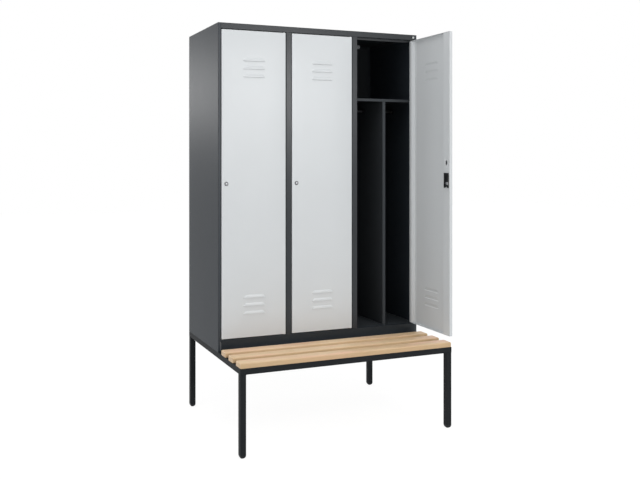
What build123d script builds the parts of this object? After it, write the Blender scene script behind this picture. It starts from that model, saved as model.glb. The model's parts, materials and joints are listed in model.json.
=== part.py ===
from build123d import *
import os

# A steel locker with three hinged doors, standing on the back of a bench frame with beech slats.
# Millimetres, +Z up. The origin is on the floor under the middle of the bench frame, -Y is the front.
# The third door is drawn standing open, as it is photographed, and the other two are drawn closed.

# Body
compartments = 3
compartment_pitch = 400
body_height = 1700
body_depth = 500
body_sheet = 0.8
bend_radius = 1.4
rear_fold = 12
base_flange = 28
stiffening_fold = 15
fold_clearance = 8

# Front frame of the body
post_width = 30
top_rail_height = 30
bottom_rail_height = 62
rebate_depth = 21
hinge_lip = 22
lock_lip = 10
head_lip = 12

# Shelves, partitions and coat rails
shelf_drop = 367
shelf_lip = 15
shelf_lip_return = 10
partition_edge_width = 18
partition_edge_depth = 8
coat_rail_drop = 55
coat_rail_radius = 10
coat_rail_wall = 1.2
rail_cup_wall = 4
rail_cup_length = 10
rail_cup_floor = 3

# Doors
door_gap = 4
door_depth = 18
door_sheet = 0.8
door_corner_radius = 1.8
door_bend_radius = 1.2
hinge_web_width = 18
hinge_stiffener_width = 32
lock_channel_width = 54
channel_foot = 10
rest_angles = (0, 0, 90)

# Louvres pressed out of each door
louvres_per_group = 3
louvre_pitch = 42
louvre_width = 128
louvre_height = 17
louvre_reach = 3
louvre_nose = 3
louvre_root = 2
louvre_end_slope = 8
louvre_side_taper = 16
upper_louvre_drop = 158.5
lower_louvre_rise = 119.5

# Hinge pins and the bushes that they turn in
hinge_edge_distance = 7
hinge_front_distance = 6
pin_radius = 3.5
pin_engagement = 9
pin_plate_size = 8
pin_plate_thickness = 3
pin_collar_radius = 5
bush_wall = 1
bush_flange_radius = 5.5
bush_flange_thickness = 1.5
bush_length = 6
running_clearance = 0.05
seat_gap = 0.3

# Lock
lock_height = 867
lock_edge_distance = 26
rosette_radius = 11
rosette_thickness = 2
barrel_radius = 8
core_radius = 5
core_proud = 0.3
key_slot_width = 1.8
key_slot_length = 7
key_slot_depth = 4
rotor_radius = 8.5
rotor_thickness = 2
case_width = 34
case_height = 78
case_depth = 8
case_corner_radius = 2
case_edge_distance = 6
case_end_wall = 1.5
case_below_lock = 23
case_notch_radius = 11
case_notch_drop = 3
bolt_height = 16
bolt_thickness = 2
bolt_tip_inset = 0.5
bolt_behind_lip = 0.4
bolt_play = 0.1
bolt_window_height = 14
eye_height = 28
eye_width = 13
eye_rise = 109

# Door buffers and the round cap on the top rail
buffer_radius = 4
buffer_drop = 50
buffer_reach = 23
buffer_tab_height = 20
cap_radius = 6.5
cap_thickness = 2
cap_ring_width = 3
cap_ring_thickness = 1
cap_edge_distance = 23

# Bench frame
bench_reach = 315
seat_frame_height = 430
tube_size = 30
tube_wall = 2
tube_corner_radius = 2.5
foot_height = 18
foot_corner_radius = 12
foot_plug_length = 25
foot_plug_clearance = 0.3

# Slats
slats = 3
slat_width = 65
slat_pitch = 103.5
slat_thickness = 25
slat_end_radius = 6
slat_top_radius = 5
slat_bottom_radius = 2

# Fasteners
bolt_shank_radius = 4
bolt_head_radius = 7
bolt_head_height = 5
nut_radius = 7.5
nut_height = 6.5
bolt_inset = 80
screw_radius = 2.5
screw_head_radius = 5
screw_head_height = 3
screw_bite = 16
screw_inset = 18
front_screw_inset = 75
front_screw_shares = (-1, -0.35, 0.35, 1)
hole_clearance = 0.1

# Angles, counts and an overrun for cuts
quarter_turn = 90
hexagon_sides = 6
overrun = 5

# Places worked out from the sizes above
body_width = compartments * compartment_pitch
left = -body_width / 2
right = body_width / 2
bench_front = -(bench_reach + body_depth) / 2
front = bench_front + bench_reach
back = front + body_depth
body_bottom = seat_frame_height
body_top = body_bottom + body_height
rail_bottom = body_top - top_rail_height
sill_top = body_bottom + bottom_rail_height
head_lip_bottom = rail_bottom - head_lip
end_post_width = post_width / 2
lip_front = front + rebate_depth
lip_back = lip_front + body_sheet
shelf_front = lip_back + body_sheet
shelf_top = body_top - shelf_drop
shelf_lip_bottom = shelf_top - shelf_lip
inner_back = back - 2 * body_sheet
fold_clear_back = inner_back - bend_radius
door_width = compartment_pitch - post_width - 2 * door_gap
door_bottom = sill_top + door_gap
door_top = rail_bottom - door_gap
door_rear = front + door_depth
hinge_y = front + hinge_front_distance
lock_z = body_bottom + lock_height
half_sheet = body_sheet / 2
half_door_sheet = door_sheet / 2
bush_radius = pin_radius + running_clearance + bush_wall
frame_bottom = seat_frame_height - tube_size


def block(low, high):
    """Box between two opposite corners."""
    size = [b - a for a, b in zip(low, high)]
    middle = [(a + b) / 2 for a, b in zip(low, high)]
    return Pos(*middle) * Box(*size)


def upright_rod(x, y, low, high, radius):
    """Round bar along Z."""
    return Pos(x, y, (low + high) / 2) * Cylinder(radius, high - low)


def deep_rod(x, z, near, far, radius):
    """Round bar along Y."""
    return Pos(x, (near + far) / 2, z) * Rot(quarter_turn, 0, 0) * Cylinder(radius, far - near)


def level_rod(y, z, start, end, radius):
    """Round bar along X."""
    return Pos((start + end) / 2, y, z) * Rot(0, quarter_turn, 0) * Cylinder(radius, end - start)


def upright_fold(points, low, high, sheet=body_sheet, bend=bend_radius):
    """Bent sheet standing upright, from the middle line of its plan."""
    outline = trace(FilletPolyline(*points, radius=bend), sheet)
    return Pos(0, 0, low) * extrude(outline, high - low)


def level_fold(points, start, end, sheet=body_sheet, bend=bend_radius):
    """Bent sheet running along X, from the middle line of its side view in Y and Z."""
    outline = Plane.YZ * trace(FilletPolyline(*points, radius=bend), sheet)
    return Pos(start, 0, 0) * extrude(outline, end - start)


def post_x(number):
    """Middle of the front post between a compartment and the next, counted from the left."""
    return left + number * compartment_pitch


def inner_left(number):
    """Left inside face of a compartment."""
    return left + body_sheet if number == 0 else post_x(number) + half_sheet


def inner_right(number):
    """Right inside face of a compartment."""
    return right - body_sheet if number == compartments - 1 else post_x(number + 1) - half_sheet


def buffer_x(number):
    """Middle of the door buffer of a compartment."""
    return post_x(number) + end_post_width + buffer_reach


def buffer_tab(number):
    """Tab on the lock-side lip that carries the door buffer."""
    middle = door_top - buffer_drop
    tab_end = buffer_x(number) + buffer_radius
    low = (post_x(number) + end_post_width, lip_front, middle - buffer_tab_height / 2)
    return block(low, (tab_end, lip_back, middle + buffer_tab_height / 2))


def base_bolt_places():
    """Plan places of the bolts that hold the body on the side rails."""
    across = (left + tube_size / 2, right - tube_size / 2)
    along = (front + bolt_inset, back - bolt_inset)
    return [(x, y) for x in across for y in along]


def side_panel(side):
    """Side sheet folded round the front corner into half a post, with the lip that the door meets."""
    lip = lock_lip if side < 0 else hinge_lip
    edge = side * body_width / 2
    lip_y = lip_front + half_sheet
    points = (
        (edge - side * rear_fold, inner_back + half_sheet),
        (edge - side * half_sheet, inner_back + half_sheet),
        (edge - side * half_sheet, front + half_sheet),
        (edge - side * (end_post_width - half_sheet), front + half_sheet),
        (edge - side * (end_post_width - half_sheet), lip_y),
        (edge - side * (end_post_width + lip), lip_y),
    )
    panel = upright_fold(points, body_bottom, body_top - body_sheet)
    inside = edge - side * end_post_width
    beyond = inside - side * (lip + overrun)
    for low, high in ((body_bottom, sill_top), (head_lip_bottom, body_top)):
        corners = sorted((inside, beyond))
        panel -= block((corners[0], front, low), (corners[1], lip_back + overrun, high))
    if side < 0:
        panel += buffer_tab(0)
    corners = sorted((edge, edge - side * base_flange))
    flange_front = lip_back + fold_clearance
    flange_back = inner_back - fold_clearance
    low = (corners[0], flange_front, body_bottom)
    panel += block(low, (corners[1], flange_back, body_bottom + body_sheet))
    for x, y in base_bolt_places():
        shank = bolt_shank_radius + hole_clearance
        panel -= upright_rod(x, y, body_bottom - overrun, body_bottom + overrun, shank)
    return panel


def middle_post(number):
    """Folded post between two doors, with a wide lip for the hinge side and a narrow one."""
    middle = post_x(number)
    lip_y = lip_front + half_sheet
    points = (
        (middle - end_post_width - hinge_lip, lip_y),
        (middle - end_post_width + half_sheet, lip_y),
        (middle - end_post_width + half_sheet, front + half_sheet),
        (middle + end_post_width - half_sheet, front + half_sheet),
        (middle + end_post_width - half_sheet, lip_y),
        (middle + end_post_width + lock_lip, lip_y),
    )
    post = upright_fold(points, sill_top, rail_bottom)
    reach = end_post_width + hinge_lip + overrun
    low = (middle - reach, lip_front, head_lip_bottom)
    post -= block(low, (middle + reach, lip_back + overrun, rail_bottom))
    low = (middle - reach, lip_front - bend_radius, rail_bottom - bend_radius)
    post -= block(low, (middle + reach, lip_back + overrun, rail_bottom))
    post += buffer_tab(number)
    return post


def inner_wall(number):
    """Wall between two compartments, with a front fold behind the lip and a rear fold."""
    middle = post_x(number)
    points = (
        (middle + end_post_width + lock_lip, lip_back + half_sheet),
        (middle, lip_back + half_sheet),
        (middle, inner_back + half_sheet),
        (middle + rear_fold, inner_back + half_sheet),
    )
    return upright_fold(points, sill_top, body_top - body_sheet)


def back_panel():
    """Rear sheet with a turned-in foot flange."""
    panel = block((left, back - body_sheet, body_bottom), (right, back, body_top - body_sheet))
    inset = base_flange + body_sheet
    low = (left + inset, back - tube_size, body_bottom)
    panel += block(low, (right - inset, back, body_bottom + body_sheet))
    return panel


def top_panel():
    """Roof sheet with folds down inside the side sheets and the rear sheet."""
    under = body_top - body_sheet
    panel = block((left, front, under), (right, back, body_top))
    fold_low = under - stiffening_fold
    near = lip_back + fold_clearance
    far = inner_back - fold_clearance
    for edge in (left + body_sheet, right - 2 * body_sheet):
        panel += block((edge, near, fold_low), (edge + body_sheet, far, body_top))
    for number in range(compartments):
        start = post_x(number) + rear_fold + fold_clearance
        end = post_x(number + 1) - rear_fold - fold_clearance
        panel += block((start, inner_back, fold_low), (end, back - body_sheet, body_top))
    return panel


def top_rail():
    """Front rail over the doors, with the head lip behind them and holes for the hinge bushes."""
    top = body_top - body_sheet - half_sheet
    points = (
        (lip_back, top),
        (front + half_sheet, top),
        (front + half_sheet, rail_bottom + half_sheet),
        (lip_front + half_sheet, rail_bottom + half_sheet),
        (lip_front + half_sheet, head_lip_bottom),
    )
    rail = level_fold(points, left + end_post_width, right - end_post_width)
    for number in range(compartments):
        hole = bush_radius + running_clearance
        rail -= upright_rod(hinge_x(number), hinge_y, rail_bottom - overrun, rail_bottom + overrun, hole)
    return rail


def bottom_rail():
    """Front rail under the doors, with holes for the hinge bushes."""
    lip_y = lip_front + half_sheet
    points = (
        (lip_y, sill_top - stiffening_fold),
        (lip_y, sill_top - half_sheet),
        (front + half_sheet, sill_top - half_sheet),
        (front + half_sheet, body_bottom + half_sheet),
        (lip_y, body_bottom + half_sheet),
    )
    rail = level_fold(points, left + end_post_width, right - end_post_width)
    for number in range(compartments):
        hole = bush_radius + running_clearance
        rail -= upright_rod(hinge_x(number), hinge_y, sill_top - overrun, sill_top + overrun, hole)
    return rail


def floor_panel():
    """Floor sheet with folds down at the front and the sides."""
    low = sill_top - body_sheet
    start = left + body_sheet
    end = right - body_sheet
    panel = block((start, lip_back, low), (end, fold_clear_back, sill_top))
    fold_low = sill_top - stiffening_fold
    inside = end_post_width + fold_clearance
    panel += block((left + inside, lip_back, fold_low), (right - inside, shelf_front, sill_top))
    near = lip_back + fold_clearance
    far = inner_back - fold_clearance
    for edge in (start, end - body_sheet):
        panel += block((edge, near, fold_low), (edge + body_sheet, far, sill_top))
    return panel


def hat_shelf(number):
    """Shelf with a folded front lip and folds down along both walls."""
    start = inner_left(number)
    end = inner_right(number)
    points = (
        (shelf_front + shelf_lip_return, shelf_lip_bottom + half_sheet),
        (shelf_front + half_sheet, shelf_lip_bottom + half_sheet),
        (shelf_front + half_sheet, shelf_top - half_sheet),
        (fold_clear_back, shelf_top - half_sheet),
    )
    shelf = level_fold(points, start, end)
    corner = (start, shelf_front, shelf_lip_bottom)
    shelf -= block(corner, (start + bend_radius, shelf_front + bend_radius, shelf_top))
    near = shelf_front + shelf_lip_return + fold_clearance
    far = inner_back - fold_clearance
    under = shelf_top - half_sheet
    for edge in (start, end - body_sheet):
        shelf += block((edge, near, shelf_lip_bottom), (edge + body_sheet, far, under))
    return shelf


def compartment_middle(number):
    """Middle of a compartment."""
    return post_x(number) + compartment_pitch / 2


def partition(number):
    """Upright sheet that halves a compartment under the shelf, with a wide folded front edge."""
    middle = compartment_middle(number)
    half = partition_edge_width / 2 - half_sheet
    edge_back = shelf_front + partition_edge_depth
    points = (
        (middle - half, edge_back),
        (middle - half, shelf_front + half_sheet),
        (middle + half, shelf_front + half_sheet),
        (middle + half, edge_back),
    )
    sheet = upright_fold(points, sill_top, shelf_lip_bottom)
    low = (middle - half_sheet, shelf_front + half_sheet, sill_top)
    sheet += block(low, (middle + half_sheet, back - body_sheet, shelf_lip_bottom))
    near = shelf_front + shelf_lip_return + fold_clearance
    low = (middle - half_sheet, near, shelf_lip_bottom - body_sheet)
    sheet += block(low, (middle + half_sheet, back - body_sheet, shelf_top - body_sheet))
    low = (middle - half_sheet, inner_back, sill_top)
    sheet += block(low, (middle + rear_fold, back - body_sheet, shelf_lip_bottom))
    return sheet


def rail_spans():
    """Start and end along X of each coat rail, from wall to partition and on to the next wall."""
    spans = []
    for number in range(compartments):
        middle = compartment_middle(number)
        spans.append((inner_left(number), middle - half_sheet))
        spans.append((middle + half_sheet, inner_right(number)))
    return spans


def coat_rails():
    """Round tubes under the shelves, one in each half of a compartment."""
    middle_y = (front + back) / 2
    height = shelf_top - coat_rail_drop
    rails = []
    for start, end in rail_spans():
        low = start + rail_cup_floor
        high = end - rail_cup_floor
        bore = level_rod(middle_y, height, low - overrun, high + overrun, coat_rail_radius - coat_rail_wall)
        rails.append(level_rod(middle_y, height, low, high, coat_rail_radius) - bore)
    return Compound(rails)


def rail_cups():
    """Cups on the walls and partitions that hold the ends of the coat rails."""
    middle_y = (front + back) / 2
    height = shelf_top - coat_rail_drop
    outer = coat_rail_radius + rail_cup_wall
    inner = coat_rail_radius + running_clearance
    cups = []
    for start, end in rail_spans():
        left_cup = level_rod(middle_y, height, start, start + rail_cup_length, outer)
        socket = level_rod(middle_y, height, start + rail_cup_floor, start + rail_cup_length + overrun, inner)
        cups.append(left_cup - socket)
        right_cup = level_rod(middle_y, height, end - rail_cup_length, end, outer)
        socket = level_rod(middle_y, height, end - rail_cup_length - overrun, end - rail_cup_floor, inner)
        cups.append(right_cup - socket)
    return Compound(cups)


def door_buffers():
    """Soft round stops that the doors close against."""
    height = door_top - buffer_drop
    near = door_rear + seat_gap
    return Compound([
        deep_rod(buffer_x(number), height, near, lip_front, buffer_radius)
        for number in range(compartments)
    ])


def rail_cap():
    """Plain round cap at the right end of the top rail."""
    x = right - cap_edge_distance
    z = rail_bottom + top_rail_height / 2
    cap = deep_rod(x, z, front - cap_thickness, front, cap_radius)
    return fillet(cap.faces().sort_by(Axis.Y)[0].edges(), cap_thickness / 2)


def rail_cap_ring():
    """Flat ring round the cap."""
    x = right - cap_edge_distance
    z = rail_bottom + top_rail_height / 2
    ring = deep_rod(x, z, front - cap_ring_thickness, front, cap_radius + cap_ring_width)
    return ring - deep_rod(x, z, front - overrun, front, cap_radius + running_clearance)


def hinge_x(number):
    """Hinge axis of a door, near its right edge."""
    return post_x(number + 1) - end_post_width - door_gap - hinge_edge_distance


def hinge_bushes():
    """Flanged bushes in the two rails, a pair for each door."""
    bushes = []
    for number in range(compartments):
        x = hinge_x(number)
        bore = pin_radius + running_clearance
        for seat, flange_end, tail in (
            (rail_bottom, rail_bottom - bush_flange_thickness, rail_bottom + bush_length),
            (sill_top, sill_top + bush_flange_thickness, sill_top - bush_length),
        ):
            low, high = sorted((seat, flange_end))
            bush = upright_rod(x, hinge_y, low, high, bush_flange_radius)
            low, high = sorted((seat, tail))
            bush += upright_rod(x, hinge_y, low, high, bush_radius)
            low, high = sorted((flange_end, tail))
            bush -= upright_rod(x, hinge_y, low - overrun, high + overrun, bore)
            bushes.append(bush)
    return Compound(bushes)


def door_left(number):
    """Lock edge of a closed door."""
    return post_x(number) + end_post_width + door_gap


def louvre_shape(reach, height, width, slope, nose):
    """Hood with a rounded brow, sloping ends and tapered sides, its root on Y 0 and its lip on Z 0."""
    side_line = Polyline((0, height), (overrun, height), (overrun, 0), (-reach, 0), (-reach, nose))
    brow = TangentArc((-reach, nose), (0, height), tangent=(0, 1))
    side_view = Plane.YZ * make_face([side_line, brow])
    body = extrude(side_view, width, both=True)
    half = width / 2
    plan = Polygon(
        (-half, overrun), (-half, 0), (slope - half, -reach), (half - slope, -reach), (half, 0),
        (half, overrun), align=None,
    )
    body &= extrude(plan, height + overrun)
    taper = half - louvre_side_taper
    elevation = Plane.XZ * Polygon((-half, 0), (half, 0), (taper, height), (-taper, height), align=None)
    return body & extrude(elevation, reach + overrun, both=True)


def louvre_places(number):
    """Lip places of the louvres of a door, three near its top and three near its bottom."""
    x = door_left(number) + door_width / 2
    places = []
    for step in range(louvres_per_group):
        places.append((x, front, door_top - upper_louvre_drop - step * louvre_pitch))
        places.append((x, front, door_bottom + lower_louvre_rise + step * louvre_pitch))
    return places


def door_panel(number):
    """Door sheet as a shallow pan with louvres, lock hole and pin holes."""
    start = door_left(number)
    end = start + door_width
    outer = block((start, front, door_bottom), (end, door_rear, door_top))
    outer = fillet(outer.faces().sort_by(Axis.Y)[0].edges(), door_corner_radius)
    low = (start + door_sheet, front + door_sheet, door_bottom + door_sheet)
    inner = block(low, (end - door_sheet, door_rear + overrun, door_top - door_sheet))
    inner = fillet(inner.faces().sort_by(Axis.Y)[0].edges(), door_corner_radius - door_sheet)
    panel = outer - inner
    hood = louvre_shape(louvre_reach, louvre_height, louvre_width, louvre_end_slope, louvre_nose)
    hood &= block((start - end, -louvre_reach - overrun, 0), (end - start, door_sheet, louvre_height))
    hollow = louvre_shape(
        louvre_reach - door_sheet, louvre_height - louvre_root, louvre_width - louvre_root,
        louvre_end_slope, louvre_nose,
    )
    for place in louvre_places(number):
        panel += Pos(*place) * hood
    for place in louvre_places(number):
        panel -= Pos(*place) * hollow
    x = hinge_x(number)
    hole = pin_radius + running_clearance
    panel -= upright_rod(x, hinge_y, door_bottom - overrun, door_top + overrun, hole)
    hole = barrel_radius + running_clearance
    return panel - deep_rod(start + lock_edge_distance, lock_z, front - overrun, front + overrun, hole)


def hinge_stiffener(number):
    """Channel along the hinge side of a door, its leg slanting down to the door's sheet."""
    end = door_left(number) + door_width
    web = door_rear - half_door_sheet
    leg_end = end - hinge_stiffener_width
    foot = front + door_sheet + half_door_sheet
    points = (
        (end - door_sheet, web), (end - hinge_web_width, web), (leg_end, foot),
        (leg_end - channel_foot, foot),
    )
    low = door_bottom + door_corner_radius
    return upright_fold(points, low, door_top - door_corner_radius, door_sheet, door_bend_radius)


def eye_cut(x):
    """Pointed oval opening in the lock channel."""
    radius = ((eye_height / 2) ** 2 + (eye_width / 2) ** 2) / eye_width
    shift = radius - eye_width / 2
    near = door_rear - overrun
    far = door_rear + overrun
    height = lock_z + eye_rise
    return deep_rod(x - shift, height, near, far, radius) & deep_rod(x + shift, height, near, far, radius)


def lock_channel(number):
    """Channel along the lock side of a door, with the openings for the lock."""
    start = door_left(number)
    web = door_rear - half_door_sheet
    leg = start + lock_channel_width - half_door_sheet
    foot = front + door_sheet + half_door_sheet
    points = ((start + door_sheet, web), (leg, web), (leg, foot), (leg + channel_foot, foot))
    low = door_bottom + door_corner_radius
    high = door_top - door_corner_radius
    channel = upright_fold(points, low, high, door_sheet, door_bend_radius)
    x = start + lock_edge_distance
    hole = barrel_radius + running_clearance
    channel -= deep_rod(x, lock_z, door_rear - overrun, door_rear + overrun, hole)
    return channel - eye_cut(x)


def bolt_rear():
    """Rear face of the sliding bolt, which runs behind the lip of the post."""
    return shelf_front + bolt_behind_lip + bolt_thickness


def bolt_end(number):
    """Inner end of the bolt, just short of the end wall of the case."""
    return door_left(number) + case_edge_distance + case_width - case_end_wall - bolt_play


def lock_case(number):
    """Black case on the inside of a door, with a pocket for the bolt and a notch at its foot."""
    start = door_left(number) + case_edge_distance
    low = lock_z - case_below_lock
    rear = door_rear + case_depth
    case = block((start, door_rear, low), (start + case_width, rear, low + case_height))
    case = fillet(case.faces().sort_by(Axis.Y)[-1].edges(), case_corner_radius)
    x = start + case_width / 2
    notch_z = low - case_notch_drop
    case -= deep_rod(x, notch_z, door_rear - overrun, rear + overrun, case_notch_radius)
    x = door_left(number) + lock_edge_distance
    case -= deep_rod(x, lock_z, door_rear - overrun, rear + overrun, core_radius + running_clearance)
    half = bolt_height / 2 + bolt_play
    pocket_low = (start - overrun, bolt_rear() - bolt_thickness - bolt_play, lock_z - half)
    pocket_high = (bolt_end(number) + bolt_play, bolt_rear() + bolt_play, lock_z + half)
    case -= block(pocket_low, pocket_high)
    half = bolt_window_height / 2
    window_low = (start - overrun, bolt_rear(), lock_z - half)
    return case - block(window_low, (x - rotor_radius, rear + overrun, lock_z + half))


def lock_bolt(number):
    """Flat bolt, forked round the core, that slides behind the lip when the key is turned."""
    start = door_left(number) + case_edge_distance + bolt_tip_inset
    near = bolt_rear() - bolt_thickness
    end = bolt_end(number)
    bolt = block((start, near, lock_z - bolt_height / 2), (end, bolt_rear(), lock_z + bolt_height / 2))
    half = core_radius + seat_gap
    fork_start = door_left(number) + lock_edge_distance - half
    fork_low = (fork_start, near - overrun, lock_z - half)
    return bolt - block(fork_low, (end + overrun, bolt_rear() + overrun, lock_z + half))


def lock_barrel(number):
    """Round housing of the lock with its rosette on the door's face."""
    x = door_left(number) + lock_edge_distance
    rosette = deep_rod(x, lock_z, front - rosette_thickness, front, rosette_radius)
    rosette = fillet(rosette.faces().sort_by(Axis.Y)[0].edges(), rosette_thickness / 2)
    barrel = rosette + deep_rod(x, lock_z, front, door_rear, barrel_radius)
    bore = core_radius + running_clearance
    return barrel - deep_rod(x, lock_z, front - overrun, door_rear + overrun, bore)


def lock_core(number):
    """Turning core with a key slot in front and a rotor plate behind the case."""
    x = door_left(number) + lock_edge_distance
    face = front - rosette_thickness - core_proud
    rear = door_rear + case_depth + seat_gap
    core = deep_rod(x, lock_z, face, rear, core_radius)
    core += deep_rod(x, lock_z, rear, rear + rotor_thickness, rotor_radius)
    half_width = key_slot_width / 2
    half_length = key_slot_length / 2
    low = (x - half_width, face - overrun, lock_z - half_length)
    return core - block(low, (x + half_width, face + key_slot_depth, lock_z + half_length))


def hinge_pins(number):
    """Upper and lower pin of a door, each with the plate that holds it inside the pan."""
    x = hinge_x(number)
    half = pin_plate_size / 2
    pins = []
    for edge, inward in ((door_top, -1), (door_bottom, 1)):
        inside = edge + inward * door_sheet
        tip = edge - inward * (door_gap + pin_engagement)
        plate_end = inside + inward * pin_plate_thickness
        collar_end = edge - inward * (door_gap - bush_flange_thickness - seat_gap)
        low, high = sorted((plate_end, tip))
        pin = upright_rod(x, hinge_y, low, high, pin_radius)
        low, high = sorted((inside, plate_end))
        pin += block((x - half, hinge_y - half, low), (x + half, hinge_y + half, high))
        low, high = sorted((edge, collar_end))
        pins.append(pin + upright_rod(x, hinge_y, low, high, pin_collar_radius))
    return Compound(pins)


def at_rest(shape, number):
    """Turns a piece of a door about its hinge from closed to where the door stands."""
    x = hinge_x(number)
    turn = Rot(0, 0, rest_angles[number])
    return Pos(x, hinge_y, 0) * turn * Pos(-x, -hinge_y, 0) * shape


def tube_along_x(start, end, y_middle):
    """Square tube of the bench frame along X."""
    z = seat_frame_height - tube_size / 2
    middle = (start + end) / 2
    half = (end - start) / 2
    outer = extrude(Plane.YZ * RectangleRounded(tube_size, tube_size, tube_corner_radius), half, both=True)
    bore = tube_size - 2 * tube_wall
    inner = extrude(Plane.YZ * RectangleRounded(bore, bore, tube_corner_radius - tube_wall), half, both=True)
    return Pos(middle, y_middle, z) * (outer - inner)


def tube_along_y(start, end, x_middle):
    """Square tube of the bench frame along Y."""
    turned = Rot(0, 0, quarter_turn) * tube_along_x(start, end, 0)
    return Pos(x_middle, 0, 0) * turned


def mitre_plan(depth_in):
    """Plan outline of the frame inset by a distance, as four corners."""
    return (
        (left + depth_in, bench_front + depth_in),
        (right - depth_in, bench_front + depth_in),
        (right - depth_in, back - depth_in),
        (left + depth_in, back - depth_in),
    )


def mitred(tube, side):
    """Cuts both ends of a rail of the outer frame at 45 degrees; side counts from the front rail."""
    outer = mitre_plan(0)
    inner = mitre_plan(tube_size)
    follow = (side + 1) % len(outer)
    plan = Polygon(outer[side], outer[follow], inner[follow], inner[side], align=None)
    return tube & Pos(0, 0, frame_bottom) * extrude(plan, tube_size)


def side_rail_screw_places():
    """Plan places of the screws that come up through the side rails into the slats behind."""
    across = (left + tube_size / 2, right - tube_size / 2)
    places = []
    for x in across:
        for number in range(1, slats):
            middle = slat_front(number) + slat_width / 2
            places.extend([(x, middle - screw_inset), (x, middle + screw_inset)])
    return places


def front_rail_screw_places():
    """Plan places of the screws that come up through the front rail into the front slat."""
    y = bench_front + tube_size / 2
    reach = right - front_screw_inset
    return [(share * reach, y) for share in front_screw_shares]


def drill(tube, places, radius):
    """Holes through the upper and lower wall of a rail."""
    for x, y in places:
        tube -= upright_rod(x, y, frame_bottom - overrun, seat_frame_height + overrun, radius)
    return tube


def front_rail():
    """Mitred front rail of the bench frame."""
    tube = mitred(tube_along_x(left, right, bench_front + tube_size / 2), 0)
    return drill(tube, front_rail_screw_places(), screw_radius + hole_clearance)


def rear_rail():
    """Mitred rear rail of the bench frame."""
    return mitred(tube_along_x(left, right, back - tube_size / 2), 2)


def side_rail(side):
    """Mitred side rail with holes for the body bolts and the slat screws."""
    x = side * (right - tube_size / 2)
    tube = mitred(tube_along_y(bench_front, back, x), 1 if side > 0 else 3)
    tube = drill(tube, base_bolt_places(), bolt_shank_radius + hole_clearance)
    return drill(tube, side_rail_screw_places(), screw_radius + hole_clearance)


def cross_rail():
    """Rail under the front of the body, square ended between the side rails."""
    return tube_along_x(left + tube_size, right - tube_size, front + tube_size / 2)


def leg_places():
    """Plan middles of the four legs."""
    across = (left + tube_size / 2, right - tube_size / 2)
    along = (bench_front + tube_size / 2, back - tube_size / 2)
    return [(x, y) for x in across for y in along]


def leg(x, y):
    """Square tube from the foot up to the frame."""
    outer = extrude(RectangleRounded(tube_size, tube_size, tube_corner_radius), frame_bottom - foot_height)
    bore = tube_size - 2 * tube_wall
    corner = tube_corner_radius - tube_wall
    inner = extrude(RectangleRounded(bore, bore, corner), frame_bottom - foot_height)
    return Pos(x, y, foot_height) * (outer - inner)


def legs():
    """The four legs."""
    return Compound([leg(x, y) for x, y in leg_places()])


def foot(x, y):
    """Plastic foot with a rounded sole and a plug that goes up into the leg."""
    half = tube_size / 2
    sole = extrude(RectangleRounded(tube_size, tube_size, tube_corner_radius), foot_height)
    tall = foot_height + foot_corner_radius
    cheek = Pos(0, tall / 2) * RectangleRounded(tube_size, tall, foot_corner_radius)
    cheek = extrude(Plane.XZ * cheek, half, both=True)
    sole = sole & cheek & Rot(0, 0, quarter_turn) * cheek
    plug_size = tube_size - 2 * tube_wall - 2 * foot_plug_clearance
    plug = extrude(Rectangle(plug_size, plug_size), foot_height + foot_plug_length)
    lift = Pos(0, 0, foot_height)
    plug = plug & lift * extrude(Rectangle(tube_size, tube_size), foot_plug_length)
    return Pos(x, y, 0) * (sole + plug)


def feet():
    """The four feet."""
    return Compound([foot(x, y) for x, y in leg_places()])


def slat_front(number):
    """Front edge of a slat, counted from the front of the bench."""
    return bench_front + number * slat_pitch


def slat(number):
    """Beech slat with rounded edges and ends."""
    middle = slat_front(number) + slat_width / 2
    board = extrude(RectangleRounded(body_width, slat_width, slat_end_radius), slat_thickness)
    board = fillet(board.faces().sort_by(Axis.Z)[-1].edges(), slat_top_radius)
    board = fillet(board.faces().sort_by(Axis.Z)[0].edges(), slat_bottom_radius)
    board = Pos(0, middle, seat_frame_height) * board
    for x, y in side_rail_screw_places() + front_rail_screw_places():
        top = seat_frame_height + screw_bite + running_clearance
        board -= upright_rod(x, y, seat_frame_height - overrun, top, screw_radius + running_clearance)
    return board


def slat_screws():
    """Screws up through the frame into the slats, with their heads under the rails."""
    screws = []
    for x, y in side_rail_screw_places() + front_rail_screw_places():
        screw = upright_rod(x, y, frame_bottom, seat_frame_height + screw_bite, screw_radius)
        head = upright_rod(x, y, frame_bottom - screw_head_height, frame_bottom, screw_head_radius)
        screws.append(screw + head)
    return Compound(screws)


def hexagon(x, y, low, high, radius):
    """Six-sided bar along Z."""
    return Pos(x, y, low) * extrude(RegularPolygon(radius, hexagon_sides), high - low)


def body_bolts():
    """Bolts down through the body's base flange and the side rails, with their nuts underneath."""
    seat = body_bottom + body_sheet
    fasteners = []
    for x, y in base_bolt_places():
        shank_low = frame_bottom - nut_height
        bolt = upright_rod(x, y, shank_low, seat, bolt_shank_radius)
        bolt += hexagon(x, y, seat, seat + bolt_head_height, bolt_head_radius)
        nut = hexagon(x, y, shank_low, frame_bottom, nut_radius)
        bore = bolt_shank_radius + running_clearance
        nut -= upright_rod(x, y, shank_low - overrun, frame_bottom + overrun, bore)
        fasteners.extend([bolt, nut])
    return Compound(fasteners)


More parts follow.
